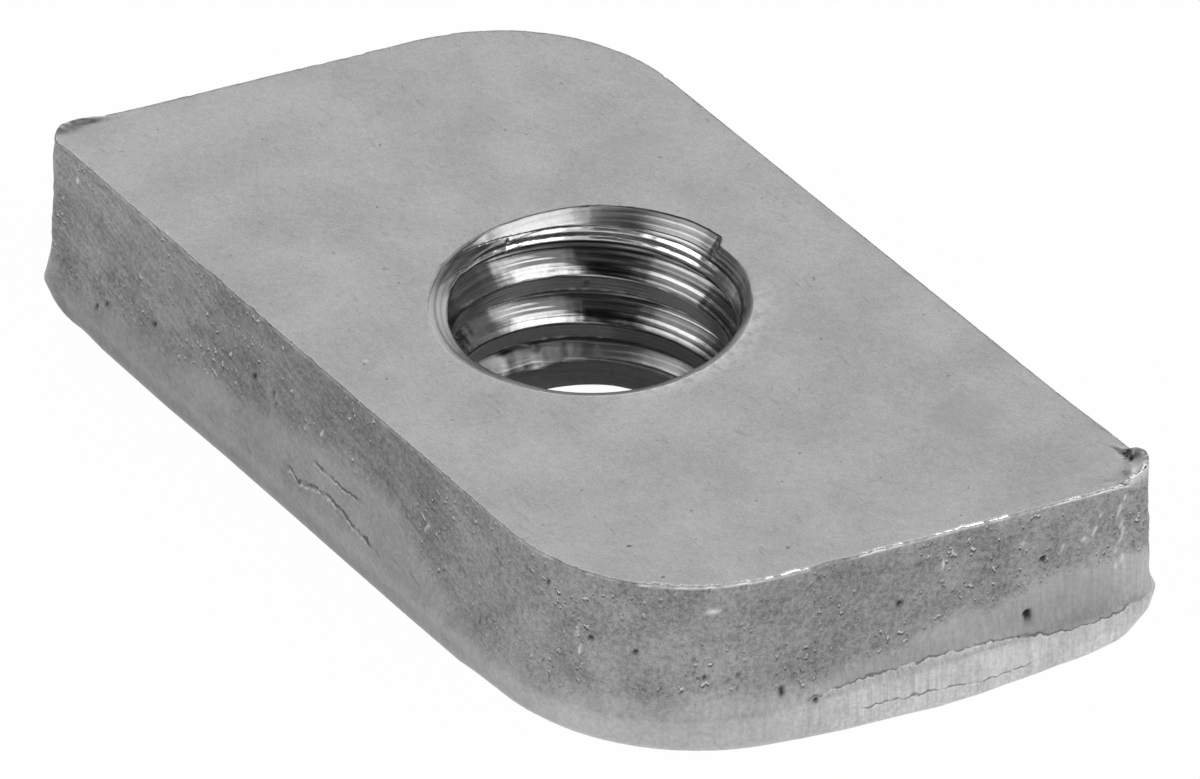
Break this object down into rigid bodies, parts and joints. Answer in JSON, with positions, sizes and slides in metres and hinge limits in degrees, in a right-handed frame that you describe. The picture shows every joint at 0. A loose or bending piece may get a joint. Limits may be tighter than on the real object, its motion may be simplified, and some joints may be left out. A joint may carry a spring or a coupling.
{
  "type": "slide nut",
  "caption": "Blanked steel plate nut with leaning short ends, two rounded and two pointed corners and a tapped through hole, to slide and turn in a rail.",
  "frame": {"origin": "on the axis of the tapped hole at the underside of the plate, which is also the centre of the bounding box's bottom", "axes": "+Z along the hole from the rolled underside to the burred upper face, X along the two long edges, Y across the plate"},
  "size_m": [0.0192, 0.0102, 0.0037],
  "materials": {
    "bare_steel": "bare blanked steel, satin on the two faces, torn and burnished bands round the cut wall"
  },
  "bodies": {
    "root": {"slide_nut": "bare_steel"}
  },
  "joints": []
}
